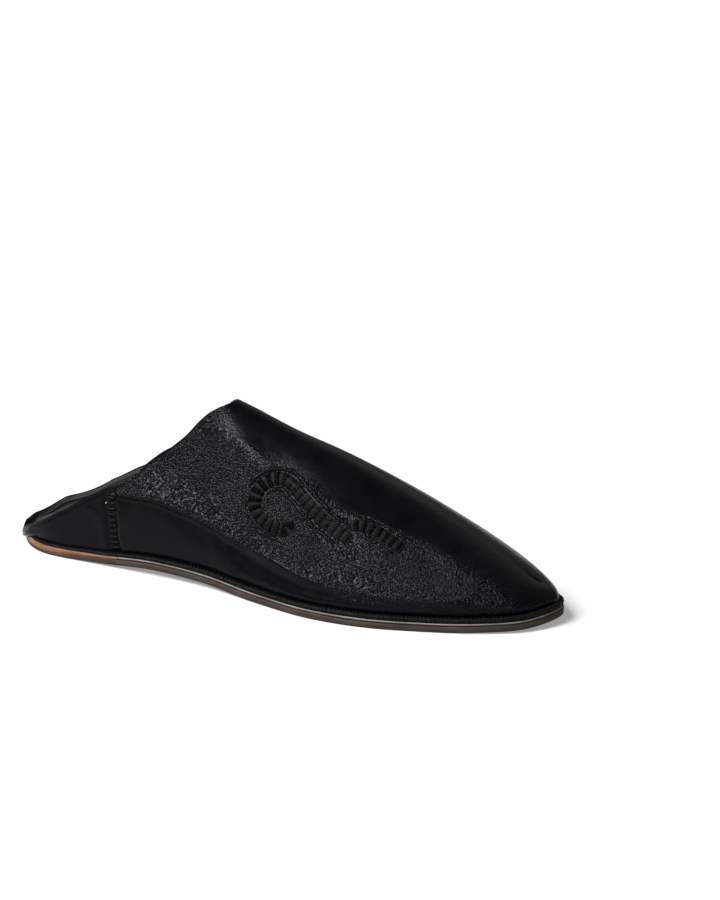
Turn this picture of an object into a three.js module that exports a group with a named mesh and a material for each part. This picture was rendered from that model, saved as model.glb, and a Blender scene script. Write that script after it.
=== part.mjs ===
// Babouche slipper for the right foot: a backless leather slipper with a pointed toe, a high arched
// vamp, a low trodden-down heel quarter and a thin stitched sole. Millimetres, +Z up, the toe along +X,
// the outer (little-toe) side along -Y. The origin is on the floor at the middle of the bounding box.

import * as THREE from "three";
import { mergeVertices } from "three/addons/utils/BufferGeometryUtils.js";

// Driving dimensions
const LENGTH = 280; // sole, heel to toe
const BALL_WIDTH = 92; // sole, across its widest part
const INSTEP_HEIGHT = 82; // floor to the middle of the throat
const WALL = 1.8; // leather and lining of the upper
const GAP = 0.3; // clearance between pieces that are stitched or glued
const SOLE_STACK = 4.1; // outsole and the layer on it
const LIFT_BACK = 3.0; // heel lift at the back of the heel
const MIDSOLE = 1.0; // midsole, and the heel lift where it meets it
const LIFT_FRONT = 66; // where the heel lift ends, from the back of the sole
const LAYER_INSET = 0.2; // heel lift and midsole inside the outsole's edge
const WELT_BACK = 1.5; // height of the welt at the heel
const WELT_FRONT = 2.8; // and from the ball to the toe
const WELT_INSET = 0.6; // welt's outer edge inside the sole's
const FEATHER_INSET = 2.0; // foot of the upper inside the sole's edge
const INSOLE_TOP = 1.4; // insole above the foot of the upper

// Sections from heel to toe. Every row leans: it starts on the sole's edge at "at" and ends on the crown line
// above "crownAt", both in lengths. "outer" and "inner" are half widths of the sole in ball widths, "floor" is
// the sole's underside above the ground in mm, "crown" the height over the sole in instep heights. The ridge
// and the shoulder are the two soft edges of the section: how far in, and how far up, of the way to the crown.
const SECTIONS = [
  { at: 0.0, outer: 0.0, inner: 0.0, floor: 0.4, crownAt: 0.143, crown: 0.74,
    ridgeIn: -0.12, ridgeUp: 0.02, shoulderIn: 0.0, shoulderUp: 0.4 },
  { at: 0.018, outer: 0.16, inner: 0.16, floor: 0.0, crownAt: 0.15, crown: 0.74,
    ridgeIn: -0.11, ridgeUp: 0.03, shoulderIn: 0.02, shoulderUp: 0.42 },
  { at: 0.082, outer: 0.286, inner: 0.28, floor: 0.0, crownAt: 0.179, crown: 0.79,
    ridgeIn: -0.03, ridgeUp: 0.16, shoulderIn: 0.12, shoulderUp: 0.55 },
  { at: 0.196, outer: 0.314, inner: 0.298, floor: 1.0, crownAt: 0.25, crown: 0.88,
    ridgeIn: 0.02, ridgeUp: 0.31, shoulderIn: 0.25, shoulderUp: 0.66 },
  { at: 0.304, outer: 0.342, inner: 0.306, floor: 3.4, crownAt: 0.343, crown: 0.95,
    ridgeIn: 0.05, ridgeUp: 0.29, shoulderIn: 0.36, shoulderUp: 0.74 },
  { at: 0.411, outer: 0.371, inner: 0.34, floor: 2.6, crownAt: 0.421, crown: 0.88,
    ridgeIn: 0.08, ridgeUp: 0.24, shoulderIn: 0.44, shoulderUp: 0.77 },
  { at: 0.518, outer: 0.437, inner: 0.405, floor: 0.3, crownAt: 0.514, crown: 0.79,
    ridgeIn: 0.1, ridgeUp: 0.19, shoulderIn: 0.49, shoulderUp: 0.76 },
  { at: 0.625, outer: 0.505, inner: 0.475, floor: 0.0, crownAt: 0.607, crown: 0.695,
    ridgeIn: 0.1, ridgeUp: 0.16, shoulderIn: 0.5, shoulderUp: 0.75 },
  { at: 0.725, outer: 0.493, inner: 0.495, floor: 0.0, crownAt: 0.7, crown: 0.575,
    ridgeIn: 0.08, ridgeUp: 0.17, shoulderIn: 0.49, shoulderUp: 0.74 },
  { at: 0.818, outer: 0.415, inner: 0.435, floor: 0.0, crownAt: 0.789, crown: 0.445,
    ridgeIn: 0.06, ridgeUp: 0.19, shoulderIn: 0.46, shoulderUp: 0.73 },
  { at: 0.896, outer: 0.327, inner: 0.333, floor: 0.6, crownAt: 0.868, crown: 0.3,
    ridgeIn: 0.04, ridgeUp: 0.22, shoulderIn: 0.43, shoulderUp: 0.74 },
  { at: 0.964, outer: 0.2, inner: 0.2, floor: 1.7, crownAt: 0.929, crown: 0.166,
    ridgeIn: 0.03, ridgeUp: 0.22, shoulderIn: 0.42, shoulderUp: 0.74 },
  { at: 1.0, outer: 0.0, inner: 0.0, floor: 3.8, crownAt: 0.957, crown: 0.08,
    ridgeIn: 0.05, ridgeUp: 0.25, shoulderIn: 0.4, shoulderUp: 0.75 },
];

// The collar seen from the side: "at" in lengths, "height" over the floor in instep heights. It is lowest at
// the trodden-down back of the heel and ends above the crown line, which it crosses at the throat.
const COLLAR = [
  { at: -0.02, height: 0.085 },
  { at: 0.0, height: 0.1 },
  { at: 0.025, height: 0.142 },
  { at: 0.07, height: 0.208 },
  { at: 0.11, height: 0.29 },
  { at: 0.175, height: 0.41 },
  { at: 0.222, height: 0.487 },
  { at: 0.257, height: 0.55 },
  { at: 0.286, height: 0.64 },
  { at: 0.33, height: 0.75 },
  { at: 0.352, height: 0.83 },
  { at: 0.374, height: 0.93 },
  { at: 0.39, height: 0.975 },
  { at: 0.405, height: 1.0 },
  { at: 0.43, height: 1.03 },
];

// Mesh divisions
const BACK_COLUMNS = 22; // heel to throat, on each side
const FRONT_COLUMNS = 22; // throat to toe, on each side
const WALL_ROWS = 12; // foot to collar or crown
const SOLE_COLUMNS = 40;
const SOLE_ROWS = 6; // across the sole
const OUTER = -1;
const INNER = 1;
const STEP = 1e-4; // for the slope of the outline
const HALVINGS = 40;
const THROAT_FROM = 0.25; // between these, as places along the slipper
const THROAT_TO = 0.6;
const NEARLY_CROWN = 0.999; // the two sides stay apart behind the throat
const MERGE = 1e-3;

// Catmull-Rom curve through b and c.
function smooth(a, b, c, d, t) {
  const linear = (c - a) * t;
  const square = (2 * a - 5 * b + 4 * c - d) * t * t;
  const cubic = (3 * b - a - 3 * c + d) * t * t * t;
  return b + (linear + square + cubic) / 2;
}

// Past the ends of the table the outline runs on round to the other side.
const mirrored = (row) => ({ ...row, outer: -row.outer, inner: -row.inner });
const ROWS = [mirrored(SECTIONS[1]), ...SECTIONS, mirrored(SECTIONS.at(-2))];

// The section at s, from 0 at the heel to 1 at the toe, in millimetres.
function sectionAt(s) {
  const spans = SECTIONS.length - 1;
  const k = Math.min(Math.floor(s * spans), spans - 1);
  const t = s * spans - k;
  const value = (name) => smooth(ROWS[k][name], ROWS[k + 1][name], ROWS[k + 2][name], ROWS[k + 3][name], t);
  return {
    x: value("at") * LENGTH,
    outer: value("outer") * BALL_WIDTH,
    inner: value("inner") * BALL_WIDTH,
    floor: Math.max(value("floor"), 0),
    crownX: value("crownAt") * LENGTH,
    crown: value("crown") * INSTEP_HEIGHT,
    ridgeIn: value("ridgeIn"),
    ridgeUp: value("ridgeUp"),
    shoulderIn: value("shoulderIn"),
    shoulderUp: value("shoulderUp"),
  };
}

// A point of the sole's outline on one side, moved inwards by inset.
function outline(s, side, inset) {
  const width = side === OUTER ? "outer" : "inner";
  const here = sectionAt(s);
  if (s === 0) return new THREE.Vector2(here.x + inset, 0);
  if (s === 1) return new THREE.Vector2(here.x - inset, 0);
  const before = sectionAt(s - STEP);
  const after = sectionAt(Math.min(s + STEP, 1));
  const along = new THREE.Vector2(after.x - before.x, side * (after[width] - before[width])).normalize();
  const inward = new THREE.Vector2(side * along.y, -side * along.x);
  return new THREE.Vector2(here.x, side * here[width]).addScaledVector(inward, inset);
}

// Heights of the layers over the sole's underside, which all depend only on the place along the sole.
const ramp = (x, from, to) => THREE.MathUtils.smoothstep(x, from, to);
const liftThickness = (x) => THREE.MathUtils.lerp(LIFT_BACK, MIDSOLE, ramp(x, 0, LIFT_FRONT));
const outsoleTop = (x) => SOLE_STACK - GAP - liftThickness(x);
const weltHeight = (x) => THREE.MathUtils.lerp(WELT_BACK, WELT_FRONT, ramp(x, 0, LENGTH / 2));
const weltTop = (x) => SOLE_STACK + GAP + weltHeight(x);
const feather = (x) => weltTop(x) + GAP;

// Across a section, tau runs from 0 at the foot through the ridge and the shoulder to 1 at the crown. The
// result is how far in, and how far up, of the way from foot to crown.
function profile(section, tau) {
  const { ridgeIn, ridgeUp, shoulderIn, shoulderUp } = section;
  const knots = [
    [ridgeIn, -ridgeUp],
    [0, 0],
    [ridgeIn, ridgeUp],
    [shoulderIn, shoulderUp],
    [1, 1],
    [2 - shoulderIn, shoulderUp],
  ];
  const k = Math.min(Math.floor(tau * 3), 2);
  const t = tau * 3 - k;
  return [0, 1].map((i) => smooth(knots[k][i], knots[k + 1][i], knots[k + 2][i], knots[k + 3][i], t));
}

// A point of the upper, or at a depth under its outer face.
function upperPoint(s, tau, side, depth) {
  const section = sectionAt(s);
  const foot = section.floor + feather(section.x);
  if (tau === 1) return new THREE.Vector3(section.crownX, 0, foot + section.crown - depth);
  const edge = outline(s, side, FEATHER_INSET + depth);
  const [inwards, upwards] = profile(section, tau);
  return new THREE.Vector3(
    edge.x + (section.crownX - edge.x) * inwards,
    edge.y * (1 - inwards),
    foot + (section.crown - depth) * upwards,
  );
}

function collarHeight(x) {
  const at = (i) => COLLAR[THREE.MathUtils.clamp(i, 0, COLLAR.length - 1)];
  const place = x / LENGTH;
  const next = COLLAR.findIndex((row) => row.at > place);
  const k = next < 1 ? COLLAR.length - 2 : next - 1;
  const t = (place - at(k).at) / (at(k + 1).at - at(k).at);
  return smooth(at(k - 1).height, at(k).height, at(k + 1).height, at(k + 2).height, t) * INSTEP_HEIGHT;
}

// Halves the interval until it holds the place where isOver turns true.
function firstWhere(isOver, low, high) {
  for (let i = 0; i < HALVINGS; i += 1) {
    const middle = (low + high) / 2;
    if (isOver(middle)) high = middle;
    else low = middle;
  }
  return (low + high) / 2;
}

// Where the crown line passes under the collar: the throat.
const throat = firstWhere((s) => {
  const top = upperPoint(s, 1, OUTER, 0);
  return top.z < collarHeight(top.x);
}, THROAT_FROM, THROAT_TO);

function topOf(s, side) {
  if (s >= throat) return 1;
  return firstWhere((tau) => {
    const point = upperPoint(s, tau, side, 0);
    return point.z > collarHeight(point.x);
  }, 0, NEARLY_CROWN);
}

// Faces of a grid of points, grid[i][j], seen from the side where i runs right and j runs up.
function gridFaces(grid, flip = false) {
  const faces = [];
  for (let i = 0; i + 1 < grid.length; i += 1)
    for (let j = 0; j + 1 < grid[i].length; j += 1) {
      const [a, b, c, d] = [grid[i][j], grid[i + 1][j], grid[i + 1][j + 1], grid[i][j + 1]];
      faces.push(...(flip ? [a, c, b, a, d, c] : [a, b, c, a, c, d]));
    }
  return faces;
}

// A closed mesh from loose triangles: shared corners are merged and triangles with no area dropped.
function solid(corners) {
  const positions = new Float32Array(corners.flatMap((p) => [p.x, p.y, p.z]));
  const loose = new THREE.BufferGeometry();
  loose.setAttribute("position", new THREE.BufferAttribute(positions, 3));
  const merged = mergeVertices(loose, MERGE);
  const index = merged.index.array;
  const kept = [];
  for (let i = 0; i < index.length; i += 3) {
    const [a, b, c] = [index[i], index[i + 1], index[i + 2]];
    if (a !== b && b !== c && c !== a) kept.push(a, b, c);
  }
  merged.setIndex(kept);
  merged.computeVertexNormals();
  return merged;
}

const range = (count) => Array.from({ length: count + 1 }, (_, i) => i / count);

// The hollow upper: an outer face, an inner face, and the rims of collar and foot between them.
function upperGeometry() {
  const places = [
    ...range(BACK_COLUMNS).map((t) => throat * t),
    ...range(FRONT_COLUMNS).slice(1).map((t) => throat + (1 - throat) * t),
  ];
  const faces = [];
  for (const side of [OUTER, INNER]) {
    const sheet = (depth) => places.map((s) => {
      const top = topOf(s, side);
      return range(WALL_ROWS).map((t) => upperPoint(s, top * t, side, depth));
    });
    const skin = sheet(0);
    const lining = sheet(WALL);
    const foot = skin.map((column, i) => [lining[i][0], column[0]]);
    const collar = skin.slice(0, BACK_COLUMNS + 1).map((column, i) => [column.at(-1), lining[i].at(-1)]);
    const flip = side === INNER;
    faces.push(...gridFaces(skin, flip), ...gridFaces(lining, !flip));
    faces.push(...gridFaces(foot, flip), ...gridFaces(collar, flip));
  }
  return solid(faces);
}

// A plate of the sole between two heights, from one place along the sole to another.
function plate({ inset, bottom, top, from = 0, to = 1 }) {
  const places = range(SOLE_COLUMNS).map((t) => from + (to - from) * t);
  const layer = (height) => places.map((s) => {
    const near = outline(s, OUTER, inset);
    const far = outline(s, INNER, inset);
    const section = sectionAt(s);
    return range(SOLE_ROWS).map((t) => {
      const x = THREE.MathUtils.lerp(near.x, far.x, t);
      return new THREE.Vector3(x, THREE.MathUtils.lerp(near.y, far.y, t), section.floor + height(section.x));
    });
  });
  const under = layer(bottom);
  const over = layer(top);
  const wall = (pick) => under.map((row, i) => [pick(row), pick(over[i])]);
  const end = (i) => under[i].map((point, j) => [point, over[i][j]]);
  const faces = [...gridFaces(under, true), ...gridFaces(over)];
  faces.push(...gridFaces(wall((row) => row[0])), ...gridFaces(wall((row) => row.at(-1)), true));
  faces.push(...gridFaces(end(0), true), ...gridFaces(end(SOLE_COLUMNS)));
  return solid(faces);
}

// The welt is a ring that follows the sole's edge under the foot of the upper.
function weltGeometry() {
  const faces = [];
  const places = range(SOLE_COLUMNS);
  for (const side of [OUTER, INNER]) {
    const line = (inset, height) => places.map((s) => {
      const edge = outline(s, side, inset);
      const section = sectionAt(s);
      return new THREE.Vector3(edge.x, edge.y, section.floor + height(section.x));
    });
    const low = () => SOLE_STACK + GAP;
    const inside = FEATHER_INSET + WALL;
    const ring = [line(inside, low), line(WELT_INSET, low), line(WELT_INSET, weltTop), line(inside, weltTop)];
    const around = places.map((_, i) => [...ring.map((corner) => corner[i]), ring[0][i]]);
    faces.push(...gridFaces(around, side === INNER));
  }
  return solid(faces);
}

// The s of a place along the sole's edge.
const along = (x) => firstWhere((s) => sectionAt(s).x > x, 0, 1);

const leather = (colour, roughness) => new THREE.MeshStandardMaterial({ color: colour, roughness, metalness: 0 });

const PIECES = [
  ["outsole", plate({ inset: 0, bottom: () => 0, top: outsoleTop }), leather(0x5a463f, 0.8)],
  ["heel_lift", plate({
    inset: LAYER_INSET,
    bottom: (x) => outsoleTop(x) + GAP,
    top: () => SOLE_STACK,
    to: along(LIFT_FRONT),
  }), leather(0xa0785a, 0.75)],
  ["midsole", plate({
    inset: LAYER_INSET,
    bottom: (x) => outsoleTop(x) + GAP,
    top: () => SOLE_STACK,
    from: along(LIFT_FRONT + GAP),
  }), leather(0x8c857c, 0.8)],
  ["welt", weltGeometry(), leather(0x161618, 0.6)],
  ["insole", plate({
    inset: FEATHER_INSET + WALL + 2 * GAP,
    bottom: () => SOLE_STACK + GAP,
    top: (x) => feather(x) + INSOLE_TOP,
  }), leather(0x3a3a3c, 0.7)],
  ["upper", upperGeometry(), leather(0x1b1b1e, 0.45)],
];

const slipper = new THREE.Group();
for (const [name, geometry, material] of PIECES) {
  const mesh = new THREE.Mesh(geometry, material);
  mesh.name = name;
  slipper.add(mesh);
}

// The origin goes to the floor, at the middle of the slipper's bounding box.
const bounds = new THREE.Box3().setFromObject(slipper);
const middle = bounds.getCenter(new THREE.Vector3());
for (const mesh of slipper.children) mesh.position.set(-middle.x, -middle.y, -bounds.min.z);

export default slipper;
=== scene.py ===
"""A black leather babouche slipper, right foot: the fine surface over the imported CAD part.

The last's functions repeat those of the part, so every piece is worked out in "last" millimetres: x from the
back of the sole to the toe, y from the sole's middle line with the outer side negative, z from the floor.
place() turns them into metres in the part's frame.
"""

import math

import bpy
import numpy as np
from mathutils import Matrix, Vector
from mathutils.bvhtree import BVHTree


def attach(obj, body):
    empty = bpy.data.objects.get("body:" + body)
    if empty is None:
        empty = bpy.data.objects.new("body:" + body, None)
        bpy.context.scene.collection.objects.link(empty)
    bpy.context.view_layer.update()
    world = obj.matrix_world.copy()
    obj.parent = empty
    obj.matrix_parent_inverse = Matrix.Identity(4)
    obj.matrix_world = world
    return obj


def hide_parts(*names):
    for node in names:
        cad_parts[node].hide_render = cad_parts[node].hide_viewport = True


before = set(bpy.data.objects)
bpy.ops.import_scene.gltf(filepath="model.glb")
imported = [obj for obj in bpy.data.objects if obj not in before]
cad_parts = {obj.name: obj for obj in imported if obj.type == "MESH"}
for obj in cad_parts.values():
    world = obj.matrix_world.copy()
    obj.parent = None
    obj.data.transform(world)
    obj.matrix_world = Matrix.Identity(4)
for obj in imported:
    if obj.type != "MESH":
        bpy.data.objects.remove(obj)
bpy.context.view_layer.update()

# ---------------------------------------------------------------- driving dimensions, in millimetres
LENGTH = 280.0
BALL_WIDTH = 92.0
INSTEP_HEIGHT = 82.0
WALL = 1.8
GAP = 0.3
SOLE_STACK = 4.1
LIFT_BACK = 3.0
MIDSOLE = 1.0
LIFT_FRONT = 66.0
WELT_BACK = 1.5
WELT_FRONT = 2.8
WELT_INSET = 0.6
FEATHER_INSET = 2.0
INSOLE_TOP = 1.4
OUTER, INNER = -1, 1
METRES = 0.001

# at, outer, inner, floor, crownAt, crown, ridgeIn, ridgeUp, shoulderIn, shoulderUp: as in the part
SECTIONS = np.array([
    [0.000, 0.000, 0.000, 0.4, 0.143, 0.740, -0.12, 0.02, 0.00, 0.40],
    [0.018, 0.160, 0.160, 0.0, 0.150, 0.740, -0.11, 0.03, 0.02, 0.42],
    [0.082, 0.286, 0.280, 0.0, 0.179, 0.790, -0.03, 0.16, 0.12, 0.55],
    [0.196, 0.314, 0.298, 1.0, 0.250, 0.880, 0.02, 0.31, 0.25, 0.66],
    [0.304, 0.342, 0.306, 3.4, 0.343, 0.950, 0.05, 0.29, 0.36, 0.74],
    [0.411, 0.371, 0.340, 2.6, 0.421, 0.880, 0.08, 0.24, 0.44, 0.77],
    [0.518, 0.437, 0.405, 0.3, 0.514, 0.790, 0.10, 0.19, 0.49, 0.76],
    [0.625, 0.505, 0.475, 0.0, 0.607, 0.695, 0.10, 0.16, 0.50, 0.75],
    [0.725, 0.493, 0.495, 0.0, 0.700, 0.575, 0.08, 0.17, 0.49, 0.74],
    [0.818, 0.415, 0.435, 0.0, 0.789, 0.445, 0.06, 0.19, 0.46, 0.73],
    [0.896, 0.327, 0.333, 0.6, 0.868, 0.300, 0.04, 0.22, 0.43, 0.74],
    [0.964, 0.200, 0.200, 1.7, 0.929, 0.166, 0.03, 0.22, 0.42, 0.74],
    [1.000, 0.000, 0.000, 3.8, 0.957, 0.080, 0.05, 0.25, 0.40, 0.75],
])
AT, OUT, INN, FLOOR, CROWN_AT, CROWN, RIDGE_IN, RIDGE_UP, SHOULDER_IN, SHOULDER_UP = range(10)
SCALES = np.array([LENGTH, BALL_WIDTH, BALL_WIDTH, 1, LENGTH, INSTEP_HEIGHT, 1, 1, 1, 1])
MIRROR = np.array([1, -1, -1, 1, 1, 1, 1, 1, 1, 1])
ROWS = np.vstack([SECTIONS[1] * MIRROR, SECTIONS, SECTIONS[-2] * MIRROR])

# at, height: the collar from the side, as in the part
COLLAR = np.array([
    [-0.02, 0.085], [0.0, 0.1], [0.025, 0.142], [0.07, 0.208], [0.11, 0.29], [0.175, 0.41],
    [0.222, 0.487], [0.257, 0.55], [0.286, 0.64], [0.33, 0.75], [0.352, 0.83], [0.374, 0.93],
    [0.39, 0.975], [0.405, 1.0], [0.43, 1.03],
])


# ---------------------------------------------------------------- the last
def smooth(a, b, c, d, t):
    """Catmull-Rom curve through b and c."""
    return b + ((c - a) * t + (2 * a - 5 * b + 4 * c - d) * t * t + (3 * b - a - 3 * c + d) * t ** 3) / 2


def section(s):
    """The rows of SECTIONS at s, from 0 at the heel to 1 at the toe, in millimetres. s is an array."""
    s = np.asarray(s, float)
    spans = len(SECTIONS) - 1
    k = np.clip(np.floor(s * spans).astype(int), 0, spans - 1)
    t = (s * spans - k)[..., None]
    row = smooth(ROWS[k], ROWS[k + 1], ROWS[k + 2], ROWS[k + 3], t) * SCALES
    row[..., FLOOR] = np.maximum(row[..., FLOOR], 0)
    return row


def outline(s, side, inset):
    """The sole's outline on one side, moved inwards: arrays of x and y."""
    step = 1e-4
    width = OUT if side == OUTER else INN
    here, before, after = section(s), section(np.maximum(s - step, 0)), section(np.minimum(s + step, 1))
    dx = after[..., AT] - before[..., AT]
    dy = side * (after[..., width] - before[..., width])
    dx = np.where((s <= 0) | (s >= 1), 0, dx)
    dy = np.where(s <= 0, side, np.where(s >= 1, -side, dy))
    size = np.hypot(dx, dy)
    return here[..., AT] + side * dy / size * inset, side * here[..., width] - side * dx / size * inset


def ramp(x, start, end):
    t = np.clip((x - start) / (end - start), 0, 1)
    return t * t * (3 - 2 * t)


def lift_thickness(x):
    return LIFT_BACK + (MIDSOLE - LIFT_BACK) * ramp(x, 0, LIFT_FRONT)


def outsole_top(x):
    return SOLE_STACK - GAP - lift_thickness(x)


def welt_top(x):
    return SOLE_STACK + GAP + WELT_BACK + (WELT_FRONT - WELT_BACK) * ramp(x, 0, LENGTH / 2)


def feather(x):
    return welt_top(x) + GAP


def upper(s, tau, side, depth=0.0):
    """Points of the upper, or at a depth under its outer face. s and tau are arrays of one shape."""
    row = section(s)
    foot = row[..., FLOOR] + feather(row[..., AT])
    x, y = outline(s, side, FEATHER_INSET + depth)
    zero, one = np.zeros_like(x), np.ones_like(x)
    ridge_in, ridge_up = row[..., RIDGE_IN], row[..., RIDGE_UP]
    shoulder_in, shoulder_up = row[..., SHOULDER_IN], row[..., SHOULDER_UP]
    ins = [ridge_in, zero, ridge_in, shoulder_in, one, 2 - shoulder_in]
    ups = [-ridge_up, zero, ridge_up, shoulder_up, one, shoulder_up]
    ins, ups = np.stack(ins, -1), np.stack(ups, -1)
    k = np.clip(np.floor(tau * 3).astype(int), 0, 2)[..., None]
    t = (tau * 3)[..., None] - k
    pick = lambda knots, i: np.take_along_axis(knots, k + i, -1)
    inwards, upwards = (smooth(*(pick(knots, i) for i in range(4)), t)[..., 0] for knots in (ins, ups))
    return np.stack([
        x + (row[..., CROWN_AT] - x) * inwards,
        y * (1 - inwards),
        foot + (row[..., CROWN] - depth) * upwards,
    ], -1)


def collar_height(x):
    place = x / LENGTH
    k = np.clip(np.searchsorted(COLLAR[:, 0], place, side="right") - 1, 0, len(COLLAR) - 2)
    t = (place - COLLAR[k, 0]) / (COLLAR[k + 1, 0] - COLLAR[k, 0])
    at = lambda i: COLLAR[np.clip(i, 0, len(COLLAR) - 1), 1]
    return smooth(at(k - 1), at(k), at(k + 1), at(k + 2), t) * INSTEP_HEIGHT


def first_where(is_over, low, high):
    """Halves the intervals until they hold the places where is_over turns true. low and high are arrays."""
    for _ in range(40):
        middle = (low + high) / 2
        over = is_over(middle)
        high, low = np.where(over, middle, high), np.where(over, low, middle)
    return (low + high) / 2


def over_collar(points):
    return points[..., 2] > collar_height(points[..., 0])


def under_collar(s):
    return ~over_collar(upper(s, np.ones_like(s), OUTER))


# Where the crown line passes under the collar.
THROAT = float(first_where(under_collar, np.array(0.3), np.array(0.6)))


def top_of(s, side):
    """The tau where the upper ends: the collar behind the throat, the crown line in front of it."""
    top = first_where(lambda tau: over_collar(upper(s, tau, side)), np.zeros_like(s), np.full_like(s, 0.9999))
    return np.where(s >= THROAT, 1.0, top)


# ---------------------------------------------------------------- meshes
heel_end = min((v.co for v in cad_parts["outsole"].data.vertices), key=lambda co: co.x)
ORIGIN = np.array([heel_end.x, heel_end.y, 0.0])


def place(points):
    return np.asarray(points, float) * METRES + ORIGIN


def make(name, points, faces, materials, replaces=(), face_material=None, grain=0.5):
    """A mesh object from points in last millimetres. Points that meet are merged.

    grain, one number or one for each point, is how strongly the leather's pebbles show there.
    """
    mesh = bpy.data.meshes.new(name)
    points = place(points)
    keys, index, back = np.unique(np.round(points, 7), axis=0, return_index=True, return_inverse=True)
    back = back.reshape(-1)
    kept, kinds = [], []
    for number, face in enumerate(faces):
        corners = [int(back[i]) for i in face]
        corners = [c for i, c in enumerate(corners) if c != corners[i - 1]]
        if len(set(corners)) > 2:
            kept.append(corners)
            kinds.append(0 if face_material is None else int(face_material[number]))
    mesh.from_pydata(points[index].tolist(), [], kept)
    mesh.update()
    for material in materials:
        mesh.materials.append(material)
    mesh.polygons.foreach_set("material_index", kinds)
    mesh.polygons.foreach_set("use_smooth", [True] * len(kept))
    depth_of_grain = mesh.attributes.new("grain", "FLOAT", "POINT")
    depth_of_grain.data.foreach_set("value", np.broadcast_to(grain, len(points))[index].astype(np.float32))
    piece = bpy.data.objects.new(name, mesh)
    bpy.context.scene.collection.objects.link(piece)
    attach(piece, "root")
    if replaces:
        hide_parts(*replaces)
    return piece


def grid_faces(rows, columns, start=0, flip=False):
    """Quads of a grid of points numbered along its columns."""
    i, j = np.meshgrid(np.arange(rows - 1), np.arange(columns - 1), indexing="ij")
    a = (start + i * columns + j).ravel()
    quads = np.stack([a, a + columns, a + columns + 1, a + 1], -1)
    return (quads[:, ::-1] if flip else quads).tolist()


def tubes(paths, radii, sides=6):
    """Points and faces of round tubes with domed ends, one for each path of points."""
    points, faces = [], []
    angles = np.arange(sides) * 2 * math.pi / sides
    for path, radius in zip(paths, radii):
        path = np.asarray(path, float)
        along = np.gradient(path, axis=0)
        along /= np.linalg.norm(along, axis=1)[:, None]
        side = np.cross(along[0], [0.0, 0.0, 1.0])
        if np.linalg.norm(side) < 0.2:
            side = np.cross(along[0], [0.0, 1.0, 0.0])
        count = len(path)
        radius = radius * np.sqrt(np.clip(1 - np.linspace(-1, 1, count) ** 6, 0.06, 1))
        start = len(points)
        for i in range(count):
            side = side - along[i] * (side @ along[i])
            side /= np.linalg.norm(side)
            other = np.cross(along[i], side)
            ring = path[i] + radius[i] * (np.outer(np.cos(angles), side) + np.outer(np.sin(angles), other))
            points.extend(ring)
        for i in range(count - 1):
            for j in range(sides):
                a, b = start + i * sides + j, start + i * sides + (j + 1) % sides
                faces.append([a, b, b + sides, a + sides])
        faces.append([start + j for j in reversed(range(sides))])
        faces.append([start + (count - 1) * sides + j for j in range(sides)])
    return np.array(points), faces


def curve_through(knots, count):
    """Evenly spaced points along a Catmull-Rom curve through the knots."""
    knots = np.asarray(knots, float)
    padded = np.vstack([2 * knots[0] - knots[1], knots, 2 * knots[-1] - knots[-2]])
    fine = []
    for k in range(len(knots) - 1):
        t = np.linspace(0, 1, 24, endpoint=False)[:, None]
        fine.append(smooth(padded[k], padded[k + 1], padded[k + 2], padded[k + 3], t))
    fine = np.vstack([*fine, knots[-1:]])
    walked = np.concatenate([[0], np.cumsum(np.linalg.norm(np.diff(fine, axis=0), axis=1))])
    even = np.linspace(0, walked[-1], count)
    return np.stack([np.interp(even, walked, fine[:, i]) for i in range(fine.shape[1])], -1)


# ---------------------------------------------------------------- materials
LEATHER_SHINE = 0.082
PEBBLES_PER_METRE = 1150
PEBBLE_SHIFT = 0.00025  # metres by which noise moves the pebbles out of their even cells
PEBBLE_DEPTH = 0.00036
PORE_DEPTH = 0.00004


def material(name, colour, roughness, specular):
    made = bpy.data.materials.new(name)
    made.use_nodes = True
    shader = made.node_tree.nodes["Principled BSDF"]
    shader.inputs["Base Color"].default_value = (*colour, 1)
    shader.inputs["Roughness"].default_value = roughness
    shader.inputs["Specular IOR Level"].default_value = specular
    return made


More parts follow.
